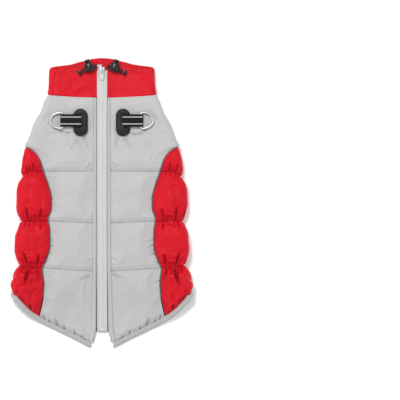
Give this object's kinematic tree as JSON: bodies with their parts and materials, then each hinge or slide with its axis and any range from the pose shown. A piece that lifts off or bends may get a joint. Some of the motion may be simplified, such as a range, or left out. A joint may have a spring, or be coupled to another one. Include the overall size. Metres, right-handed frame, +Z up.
{
  "type": "padded dog jacket",
  "caption": "Padded vest for a small dog, lying flat on its belly: back zip, quilted sides, two leash D-rings, stand-up collar with drawcord.",
  "frame": {"origin": "middle of the footprint, on the surface the jacket lies on", "axes": "+Z up from the belly to the zip, +Y along the back towards the collar, +X to the right when seen from above with the collar at the top"},
  "size_m": [0.2962, 0.4656, 0.0295],
  "materials": {
    "red_shell": "smooth coated nylon over padding, soft sheen",
    "grey_shell": "smooth reflective-look coated fabric, light padding",
    "edge_tape": "folded woven tape",
    "black_lining": "smooth taffeta lining",
    "dark_piping": "dark grey piping",
    "black_webbing": "woven 20 mm webbing with two pale stripes",
    "black_elastic": "round elastic cord",
    "pale_ribbon": "woven ribbon",
    "black_rubber": "moulded matte patch",
    "black_plastic": "moulded plastic",
    "zip_light_grey": "light grey zip",
    "zip_metal": "painted light grey metal",
    "steel": "bright steel wire"
  },
  "bodies": {
    "jacket": {"back_panel_left": "grey_shell", "side_panel_left": "red_shell", "placket_left": "grey_shell", "zip_tape_left": "zip_light_grey", "armhole_binding_left": "edge_tape", "piping_left": "dark_piping", "back_lining_left": "black_lining", "port_patch_left": "black_rubber", "webbing_left": "black_webbing", "cord_lock_left": "black_plastic", "lock_button_left": "black_plastic", "cord_left_a": "black_elastic", "cord_left_b": "black_elastic", "cord_clip_left": "black_plastic", "back_panel_right": "grey_shell", "side_panel_right": "red_shell", "placket_right": "grey_shell", "zip_tape_right": "zip_light_grey", "armhole_binding_right": "edge_tape", "piping_right": "dark_piping", "back_lining_right": "black_lining", "port_patch_right": "black_rubber", "webbing_right": "black_webbing", "cord_lock_right": "black_plastic", "lock_button_right": "black_plastic", "cord_right_a": "black_elastic", "cord_right_b": "black_elastic", "cord_clip_right": "black_plastic", "chest_panel": "red_shell", "belly_panel": "red_shell", "collar": "red_shell", "zip_chain": "zip_light_grey", "zip_end_stop": "zip_light_grey", "zip_slider": "zip_metal", "zip_facing": "black_lining", "hem_binding": "edge_tape", "chest_ring_ribbon": "pale_ribbon"},
    "ring_left": {"d_ring_left": "steel"},
    "ring_right": {"d_ring_right": "steel"},
    "chest_ring": {"chest_ring": "black_plastic"},
    "pull_tab": {"zip_pull_tab": "zip_metal"}
  },
  "joints": [
    {"name": "left_ring_swing", "type": "hinge", "parent": "jacket", "child": "ring_left", "pos_m": [-0.063, 0.132, 0.02373], "axis": [0, 1, 0], "range_deg": [0, 150]},
    {"name": "right_ring_swing", "type": "hinge", "parent": "jacket", "child": "ring_right", "pos_m": [0.063, 0.132, 0.02373], "axis": [0, -1, 0], "range_deg": [0, 150]},
    {"name": "chest_ring_swing", "type": "hinge", "parent": "jacket", "child": "chest_ring", "pos_m": [0, 0.1843, 0.0024], "axis": [1, 0, 0], "range_deg": [0, 150]},
    {"name": "pull_tab_swing", "type": "hinge", "parent": "jacket", "child": "pull_tab", "pos_m": [0, 0.213, 0.01614], "axis": [-1, 0, 0], "range_deg": [0, 165]}
  ]
}
